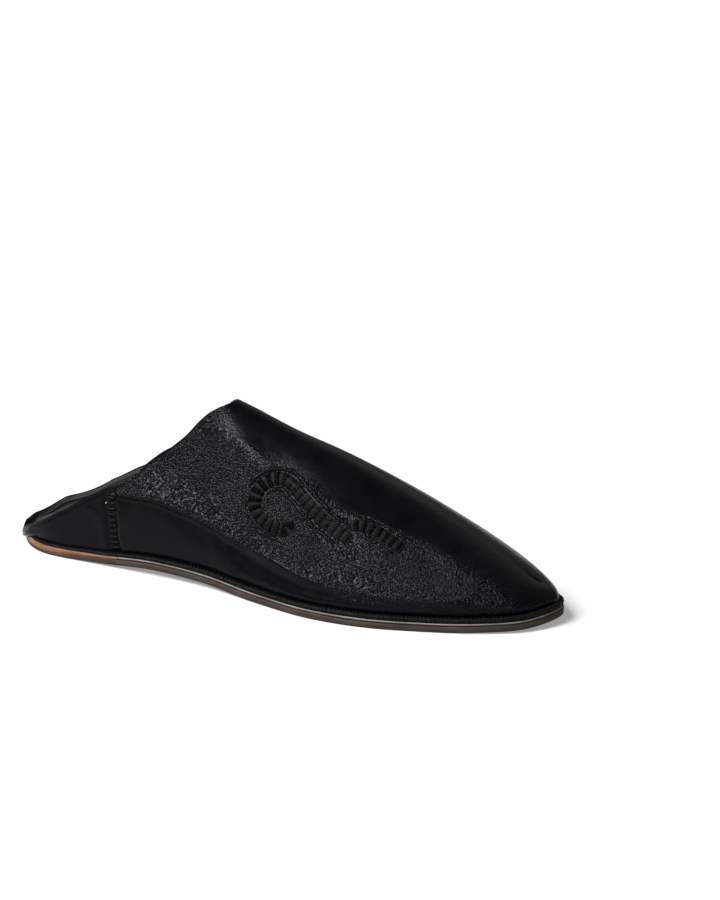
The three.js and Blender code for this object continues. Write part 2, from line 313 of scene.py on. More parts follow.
class Nodes:
    """Short ways to add and join shader nodes in one material."""

    def __init__(self, made):
        self.tree = made.node_tree
        self.shader = self.tree.nodes["Principled BSDF"]
        self.coordinates = self.tree.nodes.new("ShaderNodeTexCoord").outputs["Object"]

    def add(self, kind, inputs=(), **settings):
        node = self.tree.nodes.new(kind)
        for key, value in settings.items():
            setattr(node, key, value)
        for key, value in dict(inputs).items():
            if isinstance(value, bpy.types.NodeSocket):
                self.tree.links.new(value, node.inputs[key])
            else:
                node.inputs[key].default_value = value
        return node

    def noise(self, per_metre, detail=3.0, distortion=0.0, stretch=(1, 1, 1)):
        scaled = self.add("ShaderNodeMapping", {"Vector": self.coordinates, "Scale": stretch})
        settings = {"Vector": scaled.outputs[0], "Scale": per_metre, "Detail": detail, "Distortion": distortion}
        return self.add("ShaderNodeTexNoise", settings).outputs["Fac"]

    def noise_colour(self, per_metre):
        return self.add("ShaderNodeTexNoise", {"Vector": self.coordinates, "Scale": per_metre}).outputs["Color"]

    def cells(self, per_metre, vector):
        return self.add("ShaderNodeTexVoronoi", {"Vector": vector, "Scale": per_metre}).outputs["Distance"]

    def ramp(self, value, stops):
        node = self.add("ShaderNodeValToRGB", {"Fac": value})
        elements = node.color_ramp.elements
        while len(elements) < len(stops):
            elements.new(0.5)
        for element, (position, colour) in zip(elements, stops):
            element.position = position
            element.color = (*colour, 1)
        return node.outputs["Color"]

    def levels(self, value, low, high, out_low, out_high):
        settings = {"Value": value, 1: low, 2: high, 3: out_low, 4: out_high}
        return self.add("ShaderNodeMapRange", settings).outputs["Result"]

    def maths(self, operation, a, b):
        return self.add("ShaderNodeMath", {0: a, 1: b}, operation=operation).outputs[0]

    def bump(self, height, distance, strength, onto=None):
        settings = {"Height": height, "Distance": distance, "Strength": strength}
        if onto is not None:
            settings["Normal"] = onto
        return self.add("ShaderNodeBump", settings).outputs["Normal"]

    def to(self, socket, value):
        self.tree.links.new(value, self.shader.inputs[socket])


def upper_leather():
    """Soft black goat leather: a pebbled grain about a millimetre across, with fine pores and a dull polish."""
    made = material("upper_leather", (0.0032, 0.0032, 0.0036), 0.4, specular=LEATHER_SHINE)
    made.node_tree.nodes["Principled BSDF"].inputs["Specular Tint"].default_value = (0.95, 0.92, 1.0, 1)
    n = Nodes(made)
    shift = n.add("ShaderNodeVectorMath", {0: n.noise_colour(700), "Scale": PEBBLE_SHIFT}, operation="SCALE")
    warped = n.add("ShaderNodeVectorMath", {0: n.coordinates, 1: shift.outputs[0]}, operation="ADD")
    pebbles = n.levels(n.cells(PEBBLES_PER_METRE, warped.outputs[0]), 0.0, 0.75, 1.0, 0.0)
    grain = n.add("ShaderNodeAttribute", attribute_name="grain").outputs["Fac"]
    patches = n.maths("MULTIPLY", grain, n.levels(n.noise(55, 3), 0.35, 0.65, 0.75, 1.0))
    normal = n.bump(n.noise(130, 2), 0.0006, 0.25)
    normal = n.bump(pebbles, PEBBLE_DEPTH, patches, normal)
    n.to("Normal", n.bump(n.noise(3600, 3), PORE_DEPTH, patches, normal))
    n.to("Roughness", n.levels(n.noise(220, 4), 0.3, 0.7, 0.2, 0.28))
    stops = [(0.3, (0.0014, 0.0014, 0.0017)), (0.7, (0.0026, 0.0026, 0.0031))]
    n.to("Base Color", n.ramp(n.noise(90, 4), stops))
    return made


def lining_leather():
    """Dull dark grey leather with a fine grain."""
    made = material("lining_leather", (0.02, 0.02, 0.021), 0.6, specular=0.3)
    n = Nodes(made)
    normal = n.bump(n.noise(240, 4), 0.0006, 0.4)
    n.to("Normal", n.bump(n.noise(2200, 3), 0.00012, 0.5, normal))
    stops = [(0.3, (0.019, 0.019, 0.0197)), (0.7, (0.032, 0.032, 0.0327))]
    n.to("Base Color", n.ramp(n.noise(60, 5), stops))
    n.to("Roughness", n.levels(n.noise(150, 3), 0.3, 0.7, 0.5, 0.7))
    return made


def cut_leather(name, dark, pale, roughness, shine=0.25):
    """The cut edge and faces of sole leather: fibres that run along the sole."""
    made = material(name, dark, roughness, specular=shine)
    n = Nodes(made)
    fibres = n.noise(420, 5, 0.4, (0.12, 0.5, 2.6))
    blotches = n.noise(90, 4)
    mixed = n.maths("ADD", n.maths("MULTIPLY", fibres, 0.65), n.maths("MULTIPLY", blotches, 0.35))
    n.to("Base Color", n.ramp(mixed, [(0.38, dark), (0.62, pale)]))
    normal = n.bump(fibres, 0.0005, 0.5)
    n.to("Normal", n.bump(n.noise(1800, 4), 0.00015, 0.5, normal))
    n.to("Roughness", n.levels(n.noise(300, 3), 0.3, 0.7, roughness - 0.08, roughness + 0.08))
    return made


def thread(name, dark, pale, roughness=0.5, shine=0.05):
    """Fine fibres that vary in colour."""
    made = material(name, dark, roughness, specular=shine)
    n = Nodes(made)
    n.to("Normal", n.bump(n.noise(5200, 2), 0.00012, 0.5))
    n.to("Base Color", n.ramp(n.noise(900, 3), [(0.3, dark), (0.7, pale)]))
    return made


MATERIALS = {
    "upper": upper_leather(),
    "lining": lining_leather(),
    "outsole": cut_leather("outsole_leather", (0.014, 0.0084, 0.0063), (0.034, 0.0212, 0.0158), 0.7),
    "lift": cut_leather("lift_leather", (0.104, 0.046, 0.0197), (0.181, 0.088, 0.041), 0.65),
    "midsole": cut_leather("midsole_leather", (0.08, 0.071, 0.063), (0.16, 0.146, 0.132), 0.65),
    "welt": cut_leather("welt_leather", (0.0012, 0.0012, 0.0013), (0.004, 0.004, 0.0044), 0.6, 0.08),
    "thread": thread("black_thread", (0.0012, 0.0012, 0.0014), (0.004, 0.004, 0.0045)),
    "silk": thread("black_silk", (0.001, 0.001, 0.0012), (0.0016, 0.0016, 0.0019), 0.3, 0.045),
    "pale_thread": thread("pale_thread", (0.16, 0.155, 0.15), (0.3, 0.29, 0.28)),
}


# ---------------------------------------------------------------- the upper's relief
# x, z along each line on the upper's side
LOWER_RIDGE = np.array([
    [55, 37.6], [64.7, 37.2], [83.5, 36.7], [103.2, 34], [119.3, 30], [135.5, 25.1], [160, 20.4],
    [181.5, 16.5], [206.9, 14.4], [229.8, 14], [249, 14.6], [265.9, 13.3],
])
UPPER_RIDGE = np.array([
    [112, 73], [127, 67.5], [146.9, 57], [171.5, 47.1], [191.1, 42.1], [213.6, 38.0], [234, 31.2],
    [256.6, 20.5], [273.1, 10.1],
])
# x, z, half length, half height, slant in degrees, height: broad soft swellings and hollows of the outer side
OUTER_DENTS = [
    (80, 40, 17, 8, -5, 2.1),
    (103, 37, 14, 7, -20, 1.2),
    (94, 52, 20, 9, -15, -1.6),
    (118, 53, 12, 7, -45, -1.0),
    (108, 68, 9, 6, -40, 0.7),
    (131, 62, 12, 5, -35, 0.6),
    (134, 43, 9, 7, -60, 0.5),
    (155, 27, 14, 5, -15, -0.7),
    (176, 31, 16, 5, -15, 0.6),
    (205, 27, 16, 6, -8, 0.5),
    (232, 22, 13, 5, -5, 0.4),
    (90, 22, 14, 8, -25, -0.5),
    (123, 20, 5, 14, 28, 0.6),
    (140, 15, 8, 9, 20, -0.5),
    (36, 15, 12, 6, 30, -0.3),
    (10, 6, 8, 4, 0, 1.4),
]
INNER_DENTS = [
    (80, 47, 16, 6, -10, 0.7),
    (97, 58, 13, 6, -35, -1.0),
    (118, 48, 14, 8, -30, -1.1),
    (128, 62, 12, 6, -35, 0.7),
    (150, 44, 12, 6, -50, 0.9),
    (168, 32, 16, 6, -20, -1.0),
    (190, 36, 12, 5, -30, 0.7),
    (206, 22, 16, 5, -10, -0.6),
    (233, 20, 13, 6, -8, 0.5),
    (95, 20, 14, 8, -20, -0.5),
    (140, 16, 9, 9, 20, 0.5),
]
QUARTER_CREASE = [(48.3, 27.2), (53, 25.5), (55.9, 21.5), (57.5, 16.7), (57.9, 11.7)]
WALL_STREAK = [(113.4, 34), (123, 31), (127.2, 25), (130.8, 16.7)]
SEAM_FOOT, SEAM_TOP = (63.7, 8.7), (60.7, 36.0)
SEAM_HALF = 2.8  # half the width of the side seam's strip
SEAM_DEPTH = 1.0
LIP_RISE = 4.2  # of the fold's sharp back half over the wall
LIP_HOLLOW = 1.8  # under it
SWELL_RISE = 2.4  # of its soft front half
LINE_DROP = 2.2  # of the lower line near x = 163
CREST_RISE = 1.7  # of the vamp's upper ridge
QUARTER_RISE, STREAK_RISE = 0.3, 0.5
TUCK_DEPTH = 1.2  # of the upper's foot under its own swell
TOPLINE = 1.5  # width of the turned edge along the collar


def bell(distance, width):
    return np.exp(-((distance / width) ** 2))


def line_height(line, x):
    fine = curve_through(line, 200)
    return np.interp(x, fine[:, 0], fine[:, 1])


def line_distance(line, x, z):
    """Distance in the side view from a curve through the points of a line."""
    fine = curve_through(line, 40)
    gaps = np.hypot(x[..., None] - fine[:, 0], z[..., None] - fine[:, 1])
    return gaps.min(-1)


def seam_offset(x, z):
    """Distance behind or in front of the side seam's middle."""
    share = (z - SEAM_FOOT[1]) / (SEAM_TOP[1] - SEAM_FOOT[1])
    return x - SEAM_FOOT[0] - (SEAM_TOP[0] - SEAM_FOOT[0]) * np.clip(share, 0, 1)


def dents(x, z, rows):
    total = np.zeros_like(x)
    for at, up, half_length, half_height, slant, height in rows:
        c, d = math.cos(math.radians(slant)), math.sin(math.radians(slant))
        along, across = (x - at) * c + (z - up) * d, (z - up) * c - (x - at) * d
        total += height * np.exp(-((along / half_length) ** 2) - (across / half_height) ** 2)
    return total


def relief(points, side, s, share, to_top):
    """Height of the upper's folds over the plain last, in millimetres."""
    x, z = points[..., 0], points[..., 2]
    foot = section(s)[..., FLOOR] + feather(x)
    front = ramp(x, 62, 67)
    hard = front * (1 - ramp(x, 122, 152))

    t = z - line_height(LOWER_RIDGE, x) + LINE_DROP * bell(x - 163, 22)
    lip = np.exp(-np.maximum(t, 0) / 9) / (1 + np.exp(-(t + 1.3) / 0.6))
    swell = np.exp(-np.maximum(t, 0) / 10) / (1 + np.exp(-(t + 1.5) / 1.1))
    under = np.exp(-np.maximum(-t - 2.4, 0) / 5) / (1 + np.exp((t + 1.3) / 0.6))
    total = hard * (LIP_RISE * lip - LIP_HOLLOW * (1 - ramp(x, 95, 120)) * under)
    total += SWELL_RISE * (front - hard) * swell * (1 - ramp(x, 232, 268))
    t = z - line_height(UPPER_RIDGE, x)
    crest = ramp(x, 108, 130) * ramp(250 - x, 0, 50) * CREST_RISE
    total += crest * np.exp(-np.abs(t) / 7) * (1 - ramp(share, 0.6, 0.98))
    total += dents(x, z, OUTER_DENTS if side == OUTER else INNER_DENTS)
    total += QUARTER_RISE * bell(line_distance(QUARTER_CREASE, x, z), 1.8)
    total += STREAK_RISE * bell(line_distance(WALL_STREAK, x, z), 3.0)

    gap = seam_offset(x, z)
    strip = ramp(gap, -SEAM_HALF - 1.6, -SEAM_HALF + 0.4)
    strip = strip * (1 - ramp(gap, SEAM_HALF - 0.3, SEAM_HALF + 0.5))
    below = 1 - ramp(z, SEAM_TOP[1] - 0.5, SEAM_TOP[1] + 1.5)
    total -= SEAM_DEPTH * strip * below
    toe = ramp(x, 185, 225)
    total *= 1 - (share ** 8 * (1 - toe) + ramp(share, 0.3, 0.95) * toe) * (s >= THROAT)

    edge = (s < THROAT) * (1 - ramp(s, THROAT - 0.02, THROAT))
    total = total * (1 - edge * bell(to_top, 2.5)) - edge * 0.3 * bell(to_top - TOPLINE, 0.6)
    total -= (0.3 + (TUCK_DEPTH - 0.3) * ramp(x, 50, 80)) * np.exp(-np.maximum(z - foot, 0) / 1.3)
    return total * ramp(s, 0, 0.05) * ramp(1 - s, 0, 0.03)


# ---------------------------------------------------------------- the upper
BACK_COLUMNS = 130  # heel to throat, on each side
FRONT_COLUMNS = 200  # throat to toe, on each side
WALL_ROWS = 118  # foot to collar or crown
RIM_ROWS = 6
HEM = 6.0  # depth of the turned-in leather inside the collar
HEEL_SAG = 1.4  # of the heel's roll over the welt
NEAR_SAG = 1.4  # more of the collar on the outer side
NOSE_SAG = 2.0  # and where the heel turns to that side
COLLAR_WAVE = 1.4  # rise of its collar in front of the seam
FAR_RISE = 0.9  # of the collar on the inner side
FAR_WAVE = 1.6  # more at the heel and before the seam
TOE_SAG = 0.3  # of the crown near the toe
WELT_SHOWN = 0.62  # share of the welt's height that the upper leaves in sight
HEEL_BACK = 1.7  # of the heel's round back over the sole's end
RIM_RISE = 0.35  # of the collar's rounded edge
HEM_ROWS = 5
LINING_DEPTH = WALL + 0.35
LINING_STEP = 2  # columns of the outer face to each of the lining's


def grid_normals(points, side):
    """Outward unit normals of a grid of points."""
    normal = np.cross(np.gradient(points, axis=0), np.gradient(points, axis=1)) * -side
    return normal / np.maximum(np.linalg.norm(normal, axis=-1, keepdims=True), 1e-9)


def shaped(s, tau, side, depth=0.0, share=None, tops=None):
    """The upper with its folds: s and tau are grids, tops the tau where each column ends."""
    plain = upper(s, tau, side)
    top_points = upper(s, tops, side)
    to_top = np.linalg.norm(plain - top_points, axis=-1)
    lift = relief(plain, side, s, share, to_top)
    base = plain if depth == 0 else upper(s, tau, side, depth)
    moved = base + grid_normals(plain, side) * lift[..., None]
    x = plain[..., 0]
    sag = HEEL_SAG * (1 - ramp(s, 0.04, 0.13)) + (1 - WELT_SHOWN) * (feather(x) - SOLE_STACK) * (1 - share) ** 4
    apart = share * ramp(s, 0, 0.035) * (1 - ramp(s, 0.2, 0.27))
    if side == OUTER:
        sag -= COLLAR_WAVE * bell(x - 86, 9) * share
        sag += NEAR_SAG * apart + NOSE_SAG * bell(s - 0.06, 0.045) * ramp(s, 0, 0.03)
    else:
        sag -= apart * (FAR_RISE + FAR_WAVE * (bell(x - 5, 8) + bell(x - 56, 8)))
    sag += TOE_SAG * bell(s - 0.955, 0.05) * share
    moved[..., 2] -= sag
    moved[..., 0] -= HEEL_BACK * (1 - ramp(s, 0, 0.075)) * (1 + 0.7 * (1 - share))
    return moved


def grain_mask(points, s):
    """Deep pebbles between the two ridges of the vamp, faint ones on the walls, the quarters and the crown."""
    x, z = points[..., 0], points[..., 2]
    forward = ramp(x, 165, 205)
    above = ramp(z - line_height(LOWER_RIDGE, x) + 6 * forward, -2.0, 1.0 + 3 * forward) * ramp(x, 58, 66)
    below = 1 - ramp(z - line_height(UPPER_RIDGE, x), -5.0, 6.0) * ramp(x, 105, 120)
    least = 0.12 + 0.3 * ramp(x, 195, 235)
    return least + (1 - least) * above * below


class Sheets:
    """Grids of points gathered into one mesh."""

    def __init__(self):
        self.points, self.faces, self.kinds, self.total = [], [], [], 0

    def add(self, grid, kind=0, flip=False):
        made = grid_faces(*grid.shape[:2], self.total, flip)
        self.points.append(grid.reshape(-1, 3))
        self.faces += made
        self.kinds += [kind] * len(made)
        self.total += grid.shape[0] * grid.shape[1]


def build_upper():
    back = np.linspace(0, THROAT, BACK_COLUMNS + 1)
    columns = np.concatenate([back, np.linspace(THROAT, 1, FRONT_COLUMNS + 1)[1:]])
    share = np.linspace(0, 1, WALL_ROWS + 1)
    outside, inside, skins, grain = Sheets(), Sheets(), {}, []
    for side in (OUTER, INNER):
        ends = top_of(columns, side)
        grid = lambda shares, pick=slice(None): np.broadcast_arrays(columns[pick, None], shares[None])
        flip = side == INNER

        s, part = grid(share)
        tops = np.repeat(ends[:, None], part.shape[1], 1)
        skin = shaped(s, tops * part, side, 0.0, part, tops)
        skins[side] = skin
        outside.add(skin, 0, flip)
        grain.append(grain_mask(skin, s).ravel())

        cut = slice(0, BACK_COLUMNS + 1)
        length = np.linalg.norm(np.diff(skin[cut], axis=1), axis=-1).sum(1)[:, None]
        s, part = grid(np.linspace(0, 1, HEM_ROWS + 1), cut)
        tops = np.repeat(ends[cut, None], part.shape[1], 1)
        part = 1 - (1 - part) * np.minimum(HEM / np.maximum(length, HEM), 0.6)
        hem = shaped(s, tops * part, side, WALL, part, tops)[:, ::-1]
        turn = np.linspace(0, math.pi, RIM_ROWS + 1)[None, :, None]
        high, low = skin[cut, -1:], hem[:, :1]
        rise = high - skin[cut, -2:-1]
        rise = rise / np.maximum(np.linalg.norm(rise, axis=-1, keepdims=True), 1e-9)
        rim = (high + low) / 2 + (high - low) / 2 * np.cos(turn) + rise * np.sin(turn) * RIM_RISE
        outside.add(rim, 0, flip)
        outside.add(hem, 1, flip)
        grain.append(np.full(rim.shape[0] * (rim.shape[1] + hem.shape[1]), 0.12))

        few = slice(0, None, LINING_STEP)
        s, part = grid(share[::LINING_STEP] * 0.995, few)
        tops = np.repeat(ends[few, None], part.shape[1], 1)
        inside.add(shaped(s, tops * part, side, LINING_DEPTH, part, tops), 0, not flip)
    both = [MATERIALS["upper"], MATERIALS["lining"]]
    make("upper_fine", np.vstack(outside.points), outside.faces, both, ["upper"],
         face_material=outside.kinds, grain=np.concatenate(grain))
    make("upper_lining", np.vstack(inside.points), inside.faces, both[1:])
    return skins


SKINS = build_upper()
SURFACE = {
    side: BVHTree.FromPolygons(skin.reshape(-1, 3).tolist(), grid_faces(*skin.shape[:2]))
    for side, skin in SKINS.items()
}


def on_upper(side, x, z):
    """The point of the upper's outer face at x and z, seen from that side."""
    hit = SURFACE[side].ray_cast(Vector((x, side * 200.0, z)), Vector((0, -side, 0)))[0]
    if hit is None:
        hit = SURFACE[side].find_nearest(Vector((x, side * 40.0, z)))[0]
    return np.array(hit)


def snug(side, points):
    """The nearest points of the upper's outer face, and its outward normals there."""
    found, normals = [], []
    for point in points:
        hit, normal, _, _ = SURFACE[side].find_nearest(Vector(point))
        normal = np.array(normal)
        found.append(hit)
        normals.append(normal if normal[1] * side > 0 else -normal)
    return np.array(found), np.array(normals)


# ---------------------------------------------------------------- embroidery
# x, z along the middle of each band, on the outer side
HOOK = [
    (157.4, 38.6), (158.2, 36.2), (156.2, 34.5), (152.7, 34.3), (145.9, 36.0), (141.1, 39.2), (138.7, 43.6),
    (139.3, 48.5), (142.0, 52.3), (146.0, 54.6), (151.3, 55.4), (155.7, 53.9), (161.2, 50.4), (168.1, 45.6),
    (175.8, 40.8), (182.9, 37.5), (189.6, 34.5),
]
DASH = [(188.9, 40.8), (194.3, 40.9), (201.0, 38.9), (206.7, 36.2), (212.9, 33.1)]
HOOK_WIDTH = 6.5
DASH_WIDTH = 5.6
BLOCK = 3.8  # length of a block of threads, with its groove
THREADS = 7  # side by side in a block
THREAD_RADIUS = 0.32
BAND_RISE = 1.1
GROOVE = 1.15  # between blocks
RIM_OFFSET = 1.8  # of the leather's ridges from a band's edge
# start and end as shares of the band's length, which edge, radius: the ridges beside each band
HOOK_RIMS = [(0.34, 0.97, 1, 1.3), (0.42, 0.95, -1, 1.0), (0.07, 0.32, 1, 0.9)]
DASH_RIMS = [(0.03, 0.97, 1, 1.0), (0.1, 0.95, -1, 0.9)]
# start and end, which edge, number, length: the wrinkles beside the hook and the dash
WRINKLES = [(0.60, 0.93, 1, 26, 9.0), (0.35, 0.98, 1, 14, 6.0)]


def band_frame(knots, spacing):
    """Points, outward normals and crosswise directions along a band's middle, evenly spaced."""
    first = np.array([on_upper(OUTER, x, z) for x, z in knots])
    rough = curve_through(first, 400)
    length = np.linalg.norm(np.diff(rough, axis=0), axis=1).sum()
    middle, normals = snug(OUTER, curve_through(first, int(length / spacing) + 2))
    along = np.gradient(middle, axis=0)
    along /= np.linalg.norm(along, axis=1)[:, None]
    across = np.cross(normals, along)
    across /= np.linalg.norm(across, axis=1)[:, None]
    return middle, normals, across, length


def band_points(frame_rows, at, offset, height):
    """Points over the upper at fractional rows of a band's frame, offset across it and raised."""
    middle, normals, across, _ = frame_rows
    low = np.clip(np.floor(at).astype(int), 0, len(middle) - 2)
    t = (at - low)[:, None]
    mix = lambda rows: rows[low] * (1 - t) + rows[low + 1] * t
    base, out = snug(OUTER, mix(middle) + mix(across) * np.reshape(offset, (-1, 1)))
    return base + out * np.reshape(height, (-1, 1))


def dome(offset, half):
    return np.sqrt(np.clip(1 - (np.asarray(offset) / (half * 1.12)) ** 2, 0, 1))


def build_band(name, knots, width, seed):
    """A couched band: short threads along it, side by side in blocks, over a padded bed."""
    spacing = 0.35
    rows = band_frame(knots, spacing)
    length, half = rows[3], width / 2
    draw = np.random.default_rng(seed)
    paths, radii = [], []
    blocks = round(length / BLOCK)
    size = length / blocks
    for block in range(blocks):
        start, end = block * size + GROOVE / 2, (block + 1) * size - GROOVE / 2
        narrow = 0.94 if block in (0, blocks - 1) else 1.0
        for number in range(THREADS):
            across = ((number + 0.5) / THREADS - 0.5) * (width - THREAD_RADIUS) * narrow
            across += draw.normal(0, 0.05)
            t = np.linspace(0, 1, 8)
            lean = draw.normal(0, 0.12)
            reach = draw.normal(0, 0.12, 2)
            at = (start + reach[0]) + (end - start + reach[1] - reach[0]) * t
            arch = 0.72 + 0.28 * np.sin(math.pi * t) ** 0.5
            height = BAND_RISE * dome(across, half) * arch + draw.normal(0, 0.05)
            at = np.clip(at / length * (len(rows[0]) - 1), 0, len(rows[0]) - 1.001)
            paths.append(band_points(rows, at, across + lean * (t - 0.5), height))
            radii.append(THREAD_RADIUS * draw.uniform(0.85, 1.1))
    points, faces = tubes(paths, radii)
    make(name + "_threads", points, faces, [MATERIALS["silk"]])

    count, lanes = int(length / 0.6), 11
    sheet, place_at = [], np.linspace(0, len(rows[0]) - 1.001, count)
    for lane in np.linspace(-1, 1, lanes):
        height = BAND_RISE * 0.4 * math.sqrt(1 - lane * lane * 0.999) - 0.25 * abs(lane) ** 4
        sheet.append(band_points(rows, place_at, np.full(count, lane * (half + 0.3)), np.full(count, height)))
    grid = np.stack(sheet, 1)
    make(name + "_bed", grid.reshape(-1, 3), grid_faces(*grid.shape[:2]), [MATERIALS["welt"]])
    return rows


def ragged(count, draw, low, high, step=4):
    """Smoothly wandering values between low and high."""
    knots = draw.uniform(low, high, count // step + 3)
    at = np.linspace(0, len(knots) - 2, count)
    k = np.floor(at).astype(int)
    t = (at - k) ** 2 * (3 - 2 * (at - k))
    return knots[k] * (1 - t) + knots[k + 1] * t


def build_rims(rows_of_bands):
    """The leather pulled up beside the bands, as low uneven ridges, and the fine wrinkles that leave them."""
    draw = np.random.default_rng(11)
    paths, radii = [], []
    for rows, half, spans in rows_of_bands:
        last = len(rows[0]) - 1.001
        for start, end, edge, radius in spans:
            at = np.linspace(start, end, int((end - start) * rows[3] / 0.5)) * last
            count = len(at)
            offset = edge * (half + RIM_OFFSET + ragged(count, draw, -0.2, 0.25))
            height = ragged(count, draw, -0.4, -0.1, 3)
            paths.append(band_points(rows, at, offset, height))
            radii.append(radius * ragged(count, draw, 0.75, 1.2, 3))
    points, faces = tubes(paths, radii, 8)
    make("embroidery_rims", points, faces, [MATERIALS["upper"]], grain=0.9)

    paths, radii = [], []
    for (rows, half, _), (low, high, edge, number, reach) in zip(rows_of_bands, WRINKLES):
        for share in np.linspace(low, high, number):
            at = np.full(1, (share + draw.normal(0, 0.006)) * (len(rows[0]) - 1.001))
            foot = band_points(rows, at, edge * (half + RIM_OFFSET + draw.uniform(0.2, 1.2)), 0)[0]
            length = reach * draw.uniform(0.45, 1.0)
            lean = draw.normal(0.05, 0.14)
            steps = np.linspace(0, 1, 9)[:, None]
            bend = np.array([draw.normal(0, 0.7), 0, 0])
            line = foot + steps * length * np.array([lean, 0, 1]) + steps ** 2 * bend
            line, out = snug(OUTER, line)
            paths.append(line + out * 0.15)
            radii.append(0.3 * draw.uniform(0.7, 1.2) * np.linspace(1, 0.45, 9))
    points, faces = tubes(paths, radii, 5)
    make("embroidery_wrinkles", points, faces, [MATERIALS["upper"]], grain=0.1)


def build_embroidery():
    hook = build_band("hook", HOOK, HOOK_WIDTH, 3)
    dash = build_band("dash", DASH, DASH_WIDTH, 5)
    build_rims([(hook, HOOK_WIDTH / 2, HOOK_RIMS), (dash, DASH_WIDTH / 2, DASH_RIMS)])


# ---------------------------------------------------------------- side seams, tabs and specks
RIB_PITCH = 2.7
TAB_FOOT = [(60.6, 37.6), (62.4, 39.2), (64.8, 39.0), (67.0, 38.2)]  # x, z along the folded corner
SPECKS = ((61.9, 35.9, 0.5, 80), (58.4, 31.2, 1.3, 50))  # x, z, length, slant in degrees


def build_side_seams():
    """Thick thread ribs across a sunk strip on each side."""
    draw = np.random.default_rng(21)
    paths, radii = [], []
    for side in (OUTER, INNER):
        heights = np.arange(SEAM_FOOT[1] + 1.0, SEAM_TOP[1] + 0.5, RIB_PITCH / 2)
        for number, z in enumerate(heights):
            share = (z - SEAM_FOOT[1]) / (SEAM_TOP[1] - SEAM_FOOT[1])
            middle = SEAM_FOOT[0] + (SEAM_TOP[0] - SEAM_FOOT[0]) * share
            strong = number % 2 == 0
            half = SEAM_HALF * (1.0 if strong else 0.8)
            across = np.linspace(-half, half, 7) + draw.normal(0, 0.1)
            tilt = draw.normal(0.09, 0.05)
            line = np.array([on_upper(side, middle + a, z + a * tilt) for a in across])
            line, out = snug(side, line)
            bow = np.sqrt(np.clip(1 - (np.linspace(-1, 1, 7) * 0.93) ** 2, 0, 1))[:, None]
            paths.append(line + out * ((0.35 if strong else 0.0) * bow - 0.15))
            radii.append((0.85 if strong else 0.5) * draw.uniform(0.9, 1.1))
    points, faces = tubes(paths, radii, 8)
    make("side_seam_ribs", points, faces, [MATERIALS["thread"]])
    beds = Sheets()
    for side in (OUTER, INNER):
        rows = []
        for z in np.linspace(SEAM_FOOT[1] - 0.5, SEAM_TOP[1] + 0.5, 40):
            share = (z - SEAM_FOOT[1]) / (SEAM_TOP[1] - SEAM_FOOT[1])
            middle = SEAM_FOOT[0] + (SEAM_TOP[0] - SEAM_FOOT[0]) * share
            across = np.linspace(-1, 1, 7) * (SEAM_HALF - 0.1)
            line = np.array([on_upper(side, middle + a, z) for a in across])
            line, out = snug(side, line)
            rows.append(line + out * 0.08)
        beds.add(np.stack(rows, 0), 0, side == OUTER)
    make("side_seam_beds", np.vstack(beds.points), beds.faces, [MATERIALS["welt"]])


def build_tabs():
    """The small folded corner of leather where each side seam meets the collar."""
    sheets = Sheets()
    for side in (OUTER, INNER):
        base = np.array([on_upper(side, x, z) for x, z in TAB_FOOT])
        base = curve_through(base, 16)
        rows = []
        for t in np.linspace(0, 1, 8):
            swell = 0.8 * math.sin(math.pi * min(t * 1.15, 1)) + 0.1
            lift = np.sin(np.linspace(0.12, math.pi, 16)) * swell
            droop = np.array([0.5 * t, 0, -2.6 * t])
            line, out = snug(side, base + droop)
            rows.append(line + out * (lift[:, None] * (1 - t * 0.5) + 0.25))
        grid = np.stack(rows, 1)
        sheets.add(grid, 0, side == OUTER)
    make("seam_tabs", np.vstack(sheets.points), sheets.faces, [MATERIALS["upper"]])


def build_specks():
    """Two small pale ends of thread by the outer side's seam."""
    paths, radii = [], []
    for x, z, long, tilt in SPECKS:
        c, d = math.cos(math.radians(tilt)), math.sin(math.radians(tilt))
        line = np.array([on_upper(OUTER, x + c * t * long, z + d * t * long) for t in (-0.5, 0, 0.5)])
        line, out = snug(OUTER, line)
        paths.append(line + out * 0.25)
        radii.append(0.33)
    points, faces = tubes(paths, radii)
    make("thread_ends", points, faces, [MATERIALS["pale_thread"]])


build_embroidery()
build_side_seams()
build_tabs()
build_specks()


# ---------------------------------------------------------------- the sole
SOLE_COLUMNS = 220


def build_plate(name, inset, bottom, top, keys, start=0.0, end=1.0, edge=0.25):
    """A layer of the sole with softly rounded edges, from one place along the sole to another."""
    s = np.linspace(start, end, SOLE_COLUMNS + 1)
    row = section(s)
    low, high = row[:, FLOOR] + bottom(row[:, AT]), row[:, FLOOR] + top(row[:, AT])
    edge = np.minimum(edge, (high - low) * 0.45)
    closed = {side: outline(s, side, inset) for side in (OUTER, INNER)}
    around = []
    insets = [edge, 0 * edge, 0 * edge, edge]
    heights = [low, low + edge, high - edge, high]
    for side in (OUTER, INNER):
        order = range(4) if side == OUTER else reversed(range(4))
        for i in order:
            x, y = closed[side]
            around.append(np.stack([x, y - side * np.minimum(insets[i], abs(y)), heights[i]], -1))
    lines = 9
    cap = lambda a, b: [a + (b - a) * t for t in np.linspace(0, 1, lines + 2)[1:-1]]
    loop = around[:4] + cap(around[3], around[4]) + around[4:] + cap(around[7], around[0]) + [around[0]]
    grid = np.stack(loop, 1)
    faces = grid_faces(*grid.shape[:2], 0)
    count = grid.shape[1]
    faces.append(list(range(count - 1)))
    faces.append([(len(s) - 1) * count + i for i in reversed(range(count - 1))])
    rim = {2, 4 + lines}  # the two bands of faces along the layer's top edge
    kinds = [int(len(keys) > 1 and band in rim) for band in range(count - 1)] * (len(s) - 1) + [0, 0]
    return make(name, grid.reshape(-1, 3), faces, [MATERIALS[key] for key in keys],
                [name.replace("_fine", "")], face_material=kinds)


